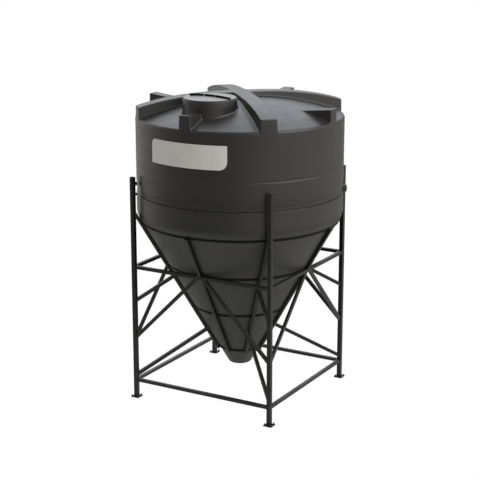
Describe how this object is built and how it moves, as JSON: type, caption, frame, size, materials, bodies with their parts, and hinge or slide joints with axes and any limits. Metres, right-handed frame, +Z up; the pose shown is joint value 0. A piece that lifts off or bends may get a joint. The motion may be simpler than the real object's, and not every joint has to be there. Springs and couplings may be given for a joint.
{
  "type": "cone bottom hopper tank",
  "caption": "Upright black plastic tank with a domed, strapped roof, side-set manway lid, bare label plate and steep hopper cone, standing in a welded box-section steel frame on square feet.",
  "frame": {"origin": "on the ground, at the middle of the four base plates, on the tank's axis", "axes": "+Z up along the tank's axis; -Y is the front, with the label plate and the manway lid; X and Y run along the sides of the square frame"},
  "size_m": [2.445, 2.4483, 3.684],
  "materials": {
    "tank_plastic": "moulded black polyethylene, softly glossy",
    "lid_plastic": "moulded black polyethylene lid with a smooth top",
    "label_sheet": "plain pale grey sheet, bare",
    "frame_paint": "black paint on steel box section, satin"
  },
  "bodies": {
    "root": {"post_front_left": "frame_paint", "post_front_right": "frame_paint", "post_back_right": "frame_paint", "post_back_left": "frame_paint", "bottom_rail_front": "frame_paint", "bottom_rail_right": "frame_paint", "bottom_rail_back": "frame_paint", "bottom_rail_left": "frame_paint", "middle_rail_front": "frame_paint", "middle_rail_right": "frame_paint", "middle_rail_back": "frame_paint", "middle_rail_left": "frame_paint", "brace_front_left": "frame_paint", "brace_front_right": "frame_paint", "brace_right_left": "frame_paint", "brace_right_right": "frame_paint", "brace_back_left": "frame_paint", "brace_back_right": "frame_paint", "brace_left_left": "frame_paint", "brace_left_right": "frame_paint", "upper_strut_front_left": "frame_paint", "upper_strut_front_right": "frame_paint", "upper_strut_back_right": "frame_paint", "upper_strut_back_left": "frame_paint", "lower_strut_front_left": "frame_paint", "lower_strut_front_right": "frame_paint", "lower_strut_back_right": "frame_paint", "lower_strut_back_left": "frame_paint", "cone_rib_front_left": "frame_paint", "cone_rib_front_right": "frame_paint", "cone_rib_back_right": "frame_paint", "cone_rib_back_left": "frame_paint", "cone_rib_front": "frame_paint", "cone_rib_right": "frame_paint", "cone_rib_back": "frame_paint", "cone_rib_left": "frame_paint", "cone_ring_top": "frame_paint", "cone_ring_upper": "frame_paint", "cone_ring_lower": "frame_paint", "cone_ring_bottom": "frame_paint", "tank_wall": "tank_plastic", "tank_cone": "tank_plastic", "tank_roof": "tank_plastic", "manway_neck": "tank_plastic", "manway_lid": "lid_plastic", "label_plate": "label_sheet"}
  },
  "joints": []
}
